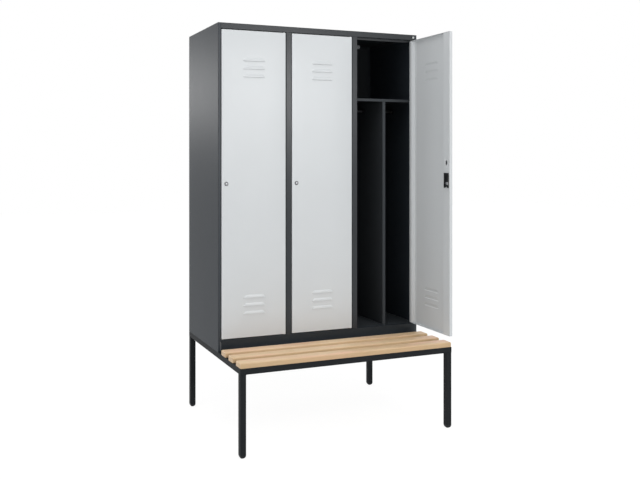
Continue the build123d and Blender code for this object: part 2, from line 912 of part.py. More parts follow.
def body_pieces():
    """Pieces of the locker body by name."""
    pieces = {
        "side_panel_left": side_panel(-1),
        "side_panel_right": side_panel(1),
        "back_panel": back_panel(),
        "top_panel": top_panel(),
        "floor_panel": floor_panel(),
        "top_rail": top_rail(),
        "bottom_rail": bottom_rail(),
        "coat_rails": coat_rails(),
        "rail_cups": rail_cups(),
        "door_buffers": door_buffers(),
        "rail_cap": rail_cap(),
        "rail_cap_ring": rail_cap_ring(),
        "hinge_bushes": hinge_bushes(),
        "body_bolts": body_bolts(),
    }
    for number in range(1, compartments):
        pieces[f"middle_post_{number}"] = middle_post(number)
        pieces[f"inner_wall_{number}"] = inner_wall(number)
    for number in range(compartments):
        pieces[f"hat_shelf_{number + 1}"] = hat_shelf(number)
        pieces[f"partition_{number + 1}"] = partition(number)
    return pieces


def door_pieces(number):
    """Pieces of one door by name, where the door stands."""
    closed = {
        "door_panel": door_panel(number),
        "hinge_stiffener": hinge_stiffener(number),
        "lock_channel": lock_channel(number),
        "lock_case": lock_case(number),
        "lock_barrel": lock_barrel(number),
        "lock_core": lock_core(number),
        "lock_bolt": lock_bolt(number),
        "hinge_pins": hinge_pins(number),
    }
    return {f"{name}_{number + 1}": at_rest(shape, number) for name, shape in closed.items()}


def bench_pieces():
    """Pieces of the bench frame by name."""
    return {
        "frame_front_rail": front_rail(),
        "frame_rear_rail": rear_rail(),
        "frame_left_rail": side_rail(-1),
        "frame_right_rail": side_rail(1),
        "frame_cross_rail": cross_rail(),
        "legs": legs(),
        "feet": feet(),
        "slat_front": slat(0),
        "slat_middle": slat(1),
        "slat_rear": slat(2),
        "slat_screws": slat_screws(),
    }


def all_pieces():
    """Every piece of the locker by name."""
    pieces = body_pieces()
    pieces.update(bench_pieces())
    for number in range(compartments):
        pieces.update(door_pieces(number))
    return pieces


os.makedirs("parts", exist_ok=True)
for name, shape in all_pieces().items():
    export_step(shape, f"parts/{name}.step")
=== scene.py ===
"""Looks of a three-door steel locker that stands on the back of a bench frame with beech slats.

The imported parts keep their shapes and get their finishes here. The door skins with their pressed louvres,
the seat slats, the feet, the lock rosettes, the trim of the lock cases, the weld beads and the spot welds of
the doors are modelled here. Lengths are metres. The doors open towards -Y.
"""

import json
import logging
import math
from dataclasses import dataclass, fields
from enum import Enum
from functools import cached_property
from typing import Iterable, Sequence

import bpy
from mathutils import Matrix, Vector


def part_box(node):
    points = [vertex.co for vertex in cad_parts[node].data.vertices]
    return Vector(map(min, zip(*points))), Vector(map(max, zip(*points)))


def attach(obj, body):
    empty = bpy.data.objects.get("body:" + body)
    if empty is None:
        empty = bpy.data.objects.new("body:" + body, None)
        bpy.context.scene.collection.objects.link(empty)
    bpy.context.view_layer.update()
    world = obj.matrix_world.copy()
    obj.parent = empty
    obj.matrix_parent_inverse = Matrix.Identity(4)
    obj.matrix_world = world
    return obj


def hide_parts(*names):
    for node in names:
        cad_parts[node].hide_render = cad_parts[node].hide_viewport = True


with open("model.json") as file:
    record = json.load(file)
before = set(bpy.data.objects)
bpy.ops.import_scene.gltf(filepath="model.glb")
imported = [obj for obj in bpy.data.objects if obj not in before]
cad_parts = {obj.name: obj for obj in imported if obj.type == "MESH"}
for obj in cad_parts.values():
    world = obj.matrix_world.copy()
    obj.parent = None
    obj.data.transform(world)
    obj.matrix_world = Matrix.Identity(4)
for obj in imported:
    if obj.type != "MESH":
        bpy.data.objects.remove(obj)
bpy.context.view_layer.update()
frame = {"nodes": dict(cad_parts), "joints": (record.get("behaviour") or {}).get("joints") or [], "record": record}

LOG = logging.getLogger("locker")

Colour = tuple[float, float, float]
Point = tuple[float, float, float]
Span = tuple[float, float]
Socket = bpy.types.NodeSocket

MM = 0.001
# Two places that are closer than this are the same.
TOUCH = 1e-9
# Nearly all values of a noise lie in this span.
NOISE = (0.3, 0.7)
WHOLE = (0.0, 1.0)
# Distance between the rings of a wave texture of scale 1.
WAVE_PITCH = 0.314


class Grain(Enum):
    """Direction in which a metal was drawn, as the stretch of its marks along X, Y and Z."""

    ALONG_X = (0.02, 1.0, 1.0)
    NONE = (1.0, 1.0, 1.0)


class Facing(Enum):
    """Way that a turned piece faces from a door's sheet, as its turn about X in degrees."""

    OUTWARDS = 90.0
    INWARDS = -90.0


def tinted(colour: Colour, factor: float, lift: float = 0.0) -> Colour:
    """Return a colour made paler or darker by a factor and a lift."""
    return tuple(value * factor + lift for value in colour)


def quarter(steps: int) -> list[Span]:
    """Return the sine and cosine at each step of a quarter turn, with both ends."""
    angles = [math.pi / 2 * step / steps for step in range(steps + 1)]
    return [(math.sin(angle), math.cos(angle)) for angle in angles]


def show(name: str, data: bpy.types.ID) -> bpy.types.Object:
    """Add an object with its data to the scene and return it."""
    thing = bpy.data.objects.new(name, data)
    bpy.context.scene.collection.objects.link(thing)
    return thing


class NodeSketch:
    """Node tree of a material or of the world, with short calls that add nodes and join them."""

    def __init__(self, owner: bpy.types.Material | bpy.types.World) -> None:
        """Start from the plain shader of a new material or world.

        Args:
            owner: The material or world.
        """
        self.owner = owner
        owner.use_nodes = True
        self.tree = owner.node_tree
        self.shader, self.output = self.tree.nodes

    @cached_property
    def places(self) -> Socket:
        """Object coordinates."""
        return self.add("ShaderNodeTexCoord")["Object"]

    def feed(self, socket: Socket, value: object) -> None:
        """Join an input to a socket, or set it to a value.

        Args:
            socket: The input.
            value: Socket, number, vector or colour.
        """
        if isinstance(value, Socket):
            self.tree.links.new(value, socket)
        elif socket.type == "RGBA":
            socket.default_value = (*value, 1.0)
        else:
            socket.default_value = value

    def add(self, kind: str, inputs: dict | None = None, **settings: object) -> bpy.types.NodeOutputs:
        """Add a node.

        Args:
            kind: Blender's name of the node type.
            inputs: Values or sockets for its inputs, by name or number.
            settings: Properties of the node.

        Returns:
            The outputs of the new node.
        """
        node = self.tree.nodes.new(kind)
        for key, value in settings.items():
            setattr(node, key, value)
        for key, value in (inputs or {}).items():
            self.feed(node.inputs[key], value)
        return node.outputs

    def calculate(self, operation: str, first: object, second: object = 0.0) -> Socket:
        """Return the result of a sum on one or two numbers."""
        return self.add("ShaderNodeMath", {0: first, 1: second}, operation=operation)[0]

    def spread(self, value: Socket, span: Span = WHOLE, to: Span = WHOLE) -> Socket:
        """Return a number that is mapped from one span to another, and clamped."""
        names = ("Value", "From Min", "From Max", "To Min", "To Max")
        return self.add("ShaderNodeMapRange", dict(zip(names, (value, *span, *to))))["Result"]

    def blend(self, share: Socket, first: object, second: object) -> Socket:
        """Return a mix of two colours, by the share of the second."""
        return self.add("ShaderNodeMix", {0: share, 6: first, 7: second}, data_type="RGBA")[2]

    def mottled(self, noise: Socket, colour: Colour, share: float) -> Socket:
        """Return a colour that a noise makes darker and paler by a share."""
        return self.blend(self.spread(noise, NOISE), tinted(colour, 1.0 - share), tinted(colour, 1.0 + share))

    def roughened(self, noise: Socket, roughness: float, swing: Span) -> Socket:
        """Return a roughness that a noise swings between two steps from its usual value."""
        return self.spread(noise, NOISE, (roughness + swing[0], roughness + swing[1]))

    def stretched(self, scale: Point, shift: Point = (0.0, 0.0, 0.0)) -> Socket:
        """Return object coordinates scaled and shifted along each axis."""
        inputs = {"Vector": self.places, "Scale": scale, "Location": shift}
        return self.add("ShaderNodeMapping", inputs)["Vector"]

    def noise(self, scale: float, detail: float, rough: float = 0.5, vector: Socket | None = None) -> Socket:
        """Return a noise between 0 and 1 by its features per metre and its finer layers and their weight."""
        inputs = {"Vector": vector or self.places, "Scale": scale, "Detail": detail, "Roughness": rough}
        return self.add("ShaderNodeTexNoise", inputs)[0]

    def streaks(self, density: Point, shift: Point, detail: float = 2.0) -> Socket:
        """Return a noise with its own number of features per metre along each axis."""
        return self.noise(1.0, detail, vector=self.stretched(density, shift))

    def bump(self, height: Socket, depth: float, normal: Socket | None = None) -> Socket:
        """Return a normal bent by a height field.

        Args:
            height: Heights between 0 and 1.
            depth: Height of 1 in metres.
            normal: The normal that is bent, if it isn't the surface's own.

        Returns:
            The bent normal.
        """
        inputs = {"Height": height, "Distance": depth, "Strength": 1.0}
        if normal is not None:
            inputs["Normal"] = normal
        return self.add("ShaderNodeBump", inputs)["Normal"]

    def rounded(self, radius: float) -> Socket:
        """Return a normal that rounds sharp edges by a radius."""
        return self.add("ShaderNodeBevel", {"Radius": radius}, samples=4)["Normal"]

    def edges(self, rounded: Socket, span: Span) -> Socket:
        """Return a mask that is 1 on sharp edges.

        Args:
            rounded: The rounded normal.
            span: Turns of the normal at which the mask starts and is full, each as 1 less its cosine.

        Returns:
            The mask.
        """
        inputs = {0: rounded, 1: self.add("ShaderNodeNewGeometry")["True Normal"]}
        turn = self.add("ShaderNodeVectorMath", inputs, operation="DOT_PRODUCT")["Value"]
        return self.spread(self.calculate("SUBTRACT", 1.0, turn), span)

    def facing(self) -> bpy.types.NodeOutputs:
        """Return the X, Y and Z of the direction in which the object's surface looks."""
        return self.add("ShaderNodeSeparateXYZ", {0: self.add("ShaderNodeTexCoord")["Normal"]})

    def seen(self) -> Socket:
        """Return 1 for what is seen straight, mirrored or through glass, and 0 for what only lights."""
        rays = self.add("ShaderNodeLightPath")
        shows = self.calculate("MAXIMUM", rays["Is Camera Ray"], rays["Is Glossy Ray"])
        return self.calculate("MAXIMUM", shows, rays["Is Transmission Ray"])

    def shade(self, **inputs: object) -> bpy.types.Material | bpy.types.World:
        """Set or join the shader's inputs, whose names have _ for a space, and return their owner."""
        for key, value in inputs.items():
            self.feed(self.shader.inputs[key.replace("_", " ")], value)
        return self.owner


@dataclass(frozen=True)
class PowderCoat:
    """Satin powder coat baked on sheet or tube, thinner along the edges.

    The coat can be glossier on the faces that look forwards, such as the folds beside the doors. It can
    show dished spot welds in two columns, which mirror about the locker's middle.
    """

    name: str
    colour: Colour
    edge_colour: Colour
    roughness: float
    gloss: float
    front_gloss: float = 0.0
    front_span: Span = (-0.9, -0.3)
    rough_swing: Span = (-0.04, 0.05)
    tone_share: float = 0.05
    peel_pitch: float = 1.8 * MM
    peel_depth: float = 0.02 * MM
    sag_pitch: float = 0.3
    sag_depth: float = 0.5 * MM
    speck_pitch: float = 4.5 * MM
    speck_span: Span = (0.62, 0.78)
    speck_share: float = 0.35
    edge_radius: float = 0.7 * MM
    edge_span: Span = (0.02, 0.3)
    wear_share: float = 0.5
    wear_patches: Span = (0.35, 0.65)
    wear_strength: Span = (0.4, 1.0)
    weld_columns: Span | None = None
    weld_pitch: float = 115.0 * MM
    weld_radius: float = 3.2 * MM
    weld_depth: float = 0.25 * MM

    def weld_marks(self, sketch: NodeSketch) -> Socket:
        """Return the height of the spot welds.

        Args:
            sketch: Node tree that the marks are added to.

        Returns:
            The height, 0 inside a weld and 1 outside it.
        """
        axes = sketch.add("ShaderNodeSeparateXYZ", {0: sketch.places})
        side = sketch.calculate("ABSOLUTE", axes["X"])
        away = [
            sketch.calculate("ABSOLUTE", sketch.calculate("SUBTRACT", side, column))
            for column in self.weld_columns
        ]
        across = sketch.calculate("MINIMUM", *away)
        up = sketch.calculate("PINGPONG", axes["Z"], self.weld_pitch / 2)
        squares = [sketch.calculate("MULTIPLY", distance, distance) for distance in (across, up)]
        distance = sketch.calculate("SQRT", sketch.calculate("ADD", *squares))
        return sketch.spread(distance, (self.weld_radius / 2, self.weld_radius))

    def material(self) -> bpy.types.Material:
        """Build the coat's material."""
        sketch = NodeSketch(bpy.data.materials.new(self.name))
        rounded = sketch.rounded(self.edge_radius)
        cloud = sketch.noise(1.0 / self.sag_pitch, 3.0)
        speck = sketch.noise(1.0 / self.speck_pitch, 4.0, 0.7)
        tone = sketch.mottled(cloud, self.colour, self.tone_share)
        specks = sketch.spread(speck, self.speck_span, (0.0, self.speck_share))
        tone = sketch.blend(specks, tone, tinted(self.colour, 1.0 + self.tone_share))
        worn = sketch.calculate("MULTIPLY", sketch.edges(rounded, self.edge_span), self.wear_share)
        patches = sketch.spread(speck, self.wear_patches, self.wear_strength)
        colour = sketch.blend(sketch.calculate("MULTIPLY", worn, patches), tone, self.edge_colour)
        normal = sketch.bump(cloud, self.sag_depth, rounded)
        if self.weld_columns:
            normal = sketch.bump(self.weld_marks(sketch), self.weld_depth, normal)
        normal = sketch.bump(sketch.noise(1.0 / self.peel_pitch, 1.0), self.peel_depth, normal)
        rough = sketch.roughened(speck, self.roughness, self.rough_swing)
        gloss = self.gloss
        if self.front_gloss:
            gloss = sketch.spread(sketch.facing()["Y"], self.front_span, (self.front_gloss, self.gloss))
        return sketch.shade(Base_Color=colour, Roughness=rough, Normal=normal, Specular_IOR_Level=gloss)


@dataclass(frozen=True)
class BeechLacquer:
    """Clear lacquered beech with the grain along X; its faces that look along Y get a painted shade.

    Densities are features per metre along X, Y and Z. Each span is where its mask starts and is full.
    """

    name: str
    seed: float
    pale: Colour = (0.86, 0.645, 0.415)
    dark: Colour = (0.66, 0.445, 0.245)
    blush: Colour = (0.90, 0.56, 0.40)
    blush_share: float = 0.6
    blush_span: Span = (0.45, 0.65)
    blush_density: Point = (4.0, 16.0, 16.0)
    blush_shift: Span = (2.9, 0.4)
    fleck: Colour = (0.45, 0.28, 0.15)
    fleck_share: float = 0.55
    fleck_span: Span = (0.66, 0.74)
    fleck_length: float = 4.0 * MM
    fleck_width: float = 0.5 * MM
    # Darker colour blended on the faces that look along Y, the slats' fronts and backs: painted shade.
    side: Colour = (0.50, 0.335, 0.175)
    side_share: float = 0.75
    side_span: Span = (0.4, 0.9)
    end_tint: float = 0.72
    end_share: float = 0.6
    end_span: Span = (0.55, 0.95)
    ring_pitch: float = 5.5 * MM
    ring_span: Span = (0.25, 1.0)
    ring_share: float = 0.55
    ring_tilt: Point = (0.06, 1.0, 1.0)
    wander: Span = (1.0, 7.0)
    wander_density: Point = (1.3, 9.0, 9.0)
    heart_depth: float = 0.09
    heart_step: float = 0.31
    patch_swing: Span = (-0.35, 0.5)
    patch_density: Point = (3.2, 14.0, 14.0)
    patch_shift: float = 1.7
    fibre_swing: Span = (-0.12, 0.12)
    fibre_density: Point = (9.0, 800.0, 800.0)
    fibre_depth: float = 0.05 * MM
    roughness: float = 0.45
    rough_swing: Span = (-0.06, 0.08)
    gloss: float = 0.4
    lacquer_weight: float = 0.12
    lacquer_roughness: float = 0.3

    def rings(self, sketch: NodeSketch) -> Socket:
        """Return the growth rings, which run nearly along the board and wander slowly.

        Args:
            sketch: Node tree that the rings are added to.

        Returns:
            The ring value, 0 in early wood and 1 in late wood.
        """
        heart = (self.seed, self.heart_step * self.seed, self.heart_depth)
        inputs = {
            "Vector": sketch.stretched(self.ring_tilt, heart),
            "Scale": WAVE_PITCH / self.ring_pitch,
            "Distortion": sketch.spread(sketch.streaks(self.wander_density, heart), WHOLE, self.wander),
            "Detail": 2.0,
            "Detail Scale": 0.25,
        }
        return sketch.add("ShaderNodeTexWave", inputs, wave_type="RINGS", rings_direction="X")["Fac"]

    def flecks(self, sketch: NodeSketch) -> Socket:
        """Return the short dark ray flecks of beech as a mask."""
        density = (1.0 / self.fleck_length, 1.0 / self.fleck_width, 1.0 / self.fleck_width)
        return sketch.spread(sketch.streaks(density, (self.seed, 0.0, 0.0), 1.0), self.fleck_span)

    def material(self) -> bpy.types.Material:
        """Build the board's material."""
        sketch = NodeSketch(bpy.data.materials.new(self.name))
        rings = sketch.spread(self.rings(sketch), self.ring_span, (0.0, self.ring_share))
        fibre = sketch.streaks(self.fibre_density, (self.seed, 0.0, 0.0))
        patch = sketch.streaks(self.patch_density, (self.seed, self.patch_shift, 0.0))
        late = sketch.calculate("ADD", rings, sketch.spread(patch, NOISE, self.patch_swing))
        late = sketch.calculate("ADD", late, sketch.spread(fibre, NOISE, self.fibre_swing))
        wood = sketch.blend(sketch.spread(late), self.pale, self.dark)
        along, up = self.blush_shift
        pink = sketch.streaks(self.blush_density, (along, self.seed, up), 1.0)
        pink = sketch.spread(pink, self.blush_span, (0.0, self.blush_share))
        flecks = self.flecks(sketch)
        facing = sketch.facing()
        # Painted shade on the faces that look along Y; the ends that look along X get the darker end grain.
        sides = sketch.spread(sketch.calculate("ABSOLUTE", facing["Y"]), self.side_span)
        ends = sketch.spread(sketch.calculate("ABSOLUTE", facing["X"]), self.end_span)
        layers = (
            (pink, self.blush),
            (sketch.calculate("MULTIPLY", flecks, self.fleck_share), self.fleck),
            (sketch.calculate("MULTIPLY", sides, self.side_share), self.side),
            (sketch.calculate("MULTIPLY", ends, self.end_share), tinted(self.dark, self.end_tint)),
        )
        for share, colour in layers:
            wood = sketch.blend(share, wood, colour)
        normal = sketch.bump(sketch.calculate("SUBTRACT", fibre, flecks), self.fibre_depth)
        rough = sketch.roughened(fibre, self.roughness, self.rough_swing)
        return sketch.shade(Base_Color=wood, Roughness=rough, Normal=normal, Specular_IOR_Level=self.gloss,
                            Coat_Weight=self.lacquer_weight, Coat_Roughness=self.lacquer_roughness)


@dataclass(frozen=True)
class MouldedPlastic:
    """Moulded plastic or rubber with a fine grain and slightly paler edges."""

    name: str
    colour: Colour
    roughness: float
    gloss: float
    rough_swing: Span = (-0.06, 0.06)
    tone_share: float = 0.15
    cloud_pitch: float = 1.0 / 30.0
    grain_pitch: float = 0.5 * MM
    grain_depth: float = 0.03 * MM
    edge_radius: float = 0.5 * MM
    edge_span: Span = (0.03, 0.3)
    edge_share: float = 0.6
    edge_tint: Span = (1.5, 0.01)

    def material(self) -> bpy.types.Material:
        """Build the moulding's material."""
        sketch = NodeSketch(bpy.data.materials.new(self.name))
        rounded = sketch.rounded(self.edge_radius)
        cloud = sketch.noise(1.0 / self.cloud_pitch, 3.0)
        worn = sketch.calculate("MULTIPLY", sketch.edges(rounded, self.edge_span), self.edge_share)
        tone = sketch.mottled(cloud, self.colour, self.tone_share)
        tone = sketch.blend(worn, tone, tinted(self.colour, *self.edge_tint))
        normal = sketch.bump(sketch.noise(1.0 / self.grain_pitch, 2.0), self.grain_depth, rounded)
        rough = sketch.roughened(cloud, self.roughness, self.rough_swing)
        return sketch.shade(Base_Color=tone, Roughness=rough, Normal=normal, Specular_IOR_Level=self.gloss)


@dataclass(frozen=True)
class BareMetal:
    """Plated or polished metal with fine drawing marks and a few stains."""

    name: str
    colour: Colour
    roughness: float
    grain: Grain = Grain.NONE
    rough_factors: Span = (0.8, 1.25)
    mark_pitch: float = 0.3 * MM
    mark_depth: float = 0.01 * MM
    stain: Colour = (0.35, 0.35, 0.36)
    stain_share: float = 0.25
    stain_span: Span = (0.45, 0.75)
    stain_pitch: float = 1.0 / 60.0
    edge_radius: float = 0.3 * MM

    def material(self) -> bpy.types.Material:
        """Build the metal's material."""
        sketch = NodeSketch(bpy.data.materials.new(self.name))
        marks = sketch.noise(1.0 / self.mark_pitch, 2.0, vector=sketch.stretched(self.grain.value))
        cloud = sketch.noise(1.0 / self.stain_pitch, 3.0)
        stains = sketch.spread(cloud, self.stain_span, (0.0, self.stain_share))
        tone = sketch.blend(stains, self.colour, self.stain)
        normal = sketch.bump(marks, self.mark_depth, sketch.rounded(self.edge_radius))
        low, high = self.rough_factors
        rough = sketch.spread(marks, NOISE, (self.roughness * low, self.roughness * high))
        return sketch.shade(Base_Color=tone, Roughness=rough, Normal=normal, Metallic=1.0)


@dataclass(frozen=True)
class Finishes:
    """All finishes of the locker: four tones of the body paint, three of which hold painted light and shade, then
    one for each of the record's slots.
    """

    # Body paint with its own colour and gloss, set to how bright the compartments look: painted light and shade on
    # the walls, shelves and partitions inside.
    inside: PowderCoat = PowderCoat("inside_painted_light_coat", (0.038, 0.043, 0.048), (0.06, 0.065, 0.071), 0.5, 0.15)
    # Body paint with its own colour, and less gloss on faces that look sideways than on those that look forwards,
    # set to how the lamps fall on the side panels: painted light and shade.
    side: PowderCoat = PowderCoat("side_painted_light_coat", (0.025, 0.031, 0.038), (0.085, 0.09, 0.095), 0.4, 0.1, 0.36)
    back: PowderCoat = PowderCoat("back_coat", (0.046, 0.052, 0.058), (0.085, 0.09, 0.095), 0.42, 0.2,
                                  weld_columns=(0.2, 0.592))
    # Body paint made darker on the bottom rail: painted shade.
    sill: PowderCoat = PowderCoat("sill_painted_shade_coat", (0.0185, 0.0235, 0.0285), (0.05, 0.053, 0.057), 0.3, 0.2)
    body_paint: PowderCoat = PowderCoat("body_coat", (0.0225, 0.0265, 0.0305), (0.07, 0.075, 0.08),
                                        0.3, 0.32)
    frame_paint: PowderCoat = PowderCoat("bench_coat", (0.0175, 0.0195, 0.0215), (0.045, 0.048, 0.052),
                                         0.5, 0.06)
    door_paint: PowderCoat = PowderCoat("door_coat", (0.62, 0.645, 0.66), (0.7, 0.715, 0.725), 0.35, 0.4,
                                        tone_share=0.012, wear_share=0.6)
    black_plastic: MouldedPlastic = MouldedPlastic("black_moulding", (0.01, 0.011, 0.013), 0.5, 0.2)
    pale_plastic: MouldedPlastic = MouldedPlastic("pale_moulding", (0.46, 0.48, 0.48), 0.35, 0.5)
    # The rubber stops are pale; this dark grey stands in for their shade inside the compartments: painted shade.
    pale_rubber: MouldedPlastic = MouldedPlastic("rubber_stop_painted_shade", (0.07, 0.074, 0.078), 0.6, 0.3)
    chrome: BareMetal = BareMetal("lock_chrome", (0.66, 0.67, 0.69), 0.16)
    dark_nickel: BareMetal = BareMetal("lock_nickel", (0.10, 0.105, 0.11), 0.3)
    zinc_steel: BareMetal = BareMetal("zinc_plate", (0.62, 0.63, 0.64), 0.32)
    rail_steel: BareMetal = BareMetal("rail_tube", (0.09, 0.095, 0.1), 0.45, Grain.ALONG_X)

    def materials(self) -> dict[str, bpy.types.Material]:
        """Build every material, by the name that its finish has here."""
        return {entry.name: getattr(self, entry.name).material() for entry in fields(self)}


class Shell:
    """Points and faces of one piece while it is being built."""

    def __init__(self) -> None:
        """Start without points."""
        self.points: list[Sequence[float]] = []
        self.faces: list[Sequence[int]] = []

    def add(self, points: Iterable[Sequence[float]]) -> tuple[int, ...]:
        """Add points and return their numbers."""
        first = len(self.points)
        self.points += points
        return tuple(range(first, len(self.points)))

    def join(self, first: Sequence[int], second: Sequence[int], closed: bool = False) -> None:
        """Join two rows of points by four-cornered faces.

        Args:
            first: One row.
            second: The other row, on the left of the first when seen from outside.
            closed: Whether both rows run round to their start.
        """
        count = len(first)
        for step in range(count if closed else count - 1):
            follow = (step + 1) % count
            self.faces.append((first[step], first[follow], second[follow], second[step]))

    def spin(self, profile: Sequence[Span], place: Matrix, segments: int, ring: bool = False) -> None:
        """Turn a profile about an axis.

        Args:
            profile: Radius and height of each point, from the inside of the face outwards and down.
            place: Matrix that takes the axis, which is Z before it, to its place.
            segments: Number of steps round the axis.
            ring: Whether the profile is closed. If it isn't, a face fills its first circle.
        """
        columns = []
        for step in range(segments):
            angle = math.tau * step / segments
            x, y = math.cos(angle), math.sin(angle)
            columns.append(self.add(place @ Vector((out * x, out * y, height)) for out, height in profile))
        for step, column in enumerate(columns):
            self.join(column, columns[(step + 1) % segments], ring)
        if not ring:
            self.faces.append([column[0] for column in columns])

    def stack(self, rings: Iterable[Iterable[Sequence[float]]]) -> None:
        """Join rings of points and close both ends.

        Args:
            rings: The rings, from the lowest to the highest, each counterclockwise from above.
        """
        loops = [self.add(ring) for ring in rings]
        for lower, upper in zip(loops, loops[1:]):
            self.join(lower, upper, True)
        self.faces += [loops[0][::-1], loops[-1]]


def rounded_ring(low: Vector, high: Vector, radius: float, inset: float, height: float,
                 steps: int, cells: int = 1) -> list[Point]:
    """Return a ring of points round an upright block with rounded corners.

    Args:
        low: Lower corner of the block.
        high: Upper corner of the block.
        radius: Radius of the ring's corners.
        inset: Distance in from the block's sides.
        height: Height of the ring.
        steps: Number of steps round each corner.
        cells: Number of cells along each side that runs in X.

    Returns:
        The points, counterclockwise from above.
    """
    margin = inset + radius
    left, right = low.x + margin, high.x - margin
    near, far = low.y + margin, high.y - margin
    corners = ((right, near), (right, far), (left, far), (left, near))
    ring: list[Point] = []
    for number, (x, y) in enumerate(corners):
        for step in range(steps + 1):
            angle = math.radians(90.0 * (number - 1) + 90.0 * step / steps)
            ring.append((x + radius * math.cos(angle), y + radius * math.sin(angle), height))
        if number % 2:
            side = ring[-1][1]
            across = corners[(number + 1) % 4][0] - x
            ring += [(x + across * cell / cells, side, height) for cell in range(1, cells)]
    return ring


def thicken(piece: bpy.types.Object, thickness: float) -> None:
    """Give a sheet its thickness, inwards from its outside.

    Args:
        piece: The sheet, with its normals outwards.
        thickness: Thickness of the sheet.
    """
    modifier = piece.modifiers.new("sheet", "SOLIDIFY")
    modifier.thickness = thickness
    modifier.offset = -1.0
    modifier.use_even_offset = True
    graph = bpy.context.evaluated_depsgraph_get()
    thick = bpy.data.meshes.new_from_object(piece.evaluated_get(graph))
    thick.name = piece.name
    piece.modifiers.clear()
    piece.data = thick


@dataclass
class Workshop:
    """Holds the materials and turns shells into shown pieces, of which it keeps a list."""

    materials: dict[str, bpy.types.Material]

    def __post_init__(self) -> None:
        """Start without pieces."""
        self.pieces: list[bpy.types.Object] = []

    def make(self, name: str, shell: Shell, body: str, slot: str, sharp: float, replaces: str = "",
             material: bpy.types.Material | None = None, thickness: float = 0.0) -> None:
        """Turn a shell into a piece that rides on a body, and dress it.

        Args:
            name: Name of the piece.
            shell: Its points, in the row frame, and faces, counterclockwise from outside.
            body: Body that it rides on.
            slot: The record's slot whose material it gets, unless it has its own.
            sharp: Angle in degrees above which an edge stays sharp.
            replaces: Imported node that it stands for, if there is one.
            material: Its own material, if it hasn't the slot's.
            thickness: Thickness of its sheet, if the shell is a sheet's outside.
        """
        mesh = bpy.data.meshes.new(name)
        mesh.from_pydata([tuple(point) for point in shell.points], [], shell.faces)
        mesh.validate()
        piece = show(name, mesh)
        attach(piece, body)
        if thickness:
            thicken(piece, thickness)
        piece.data.shade_smooth()
        piece.data.set_sharp_from_angle(angle=math.radians(sharp))
        piece.data.materials.append(material or self.materials[slot])
        if replaces:
            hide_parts(replaces)
        self.pieces.append(piece)


def hinge_joint(number: int) -> dict:
    """Return the hinge joint of a door."""
    return next(joint for joint in frame["joints"] if joint["child"] == f"door_{number}")


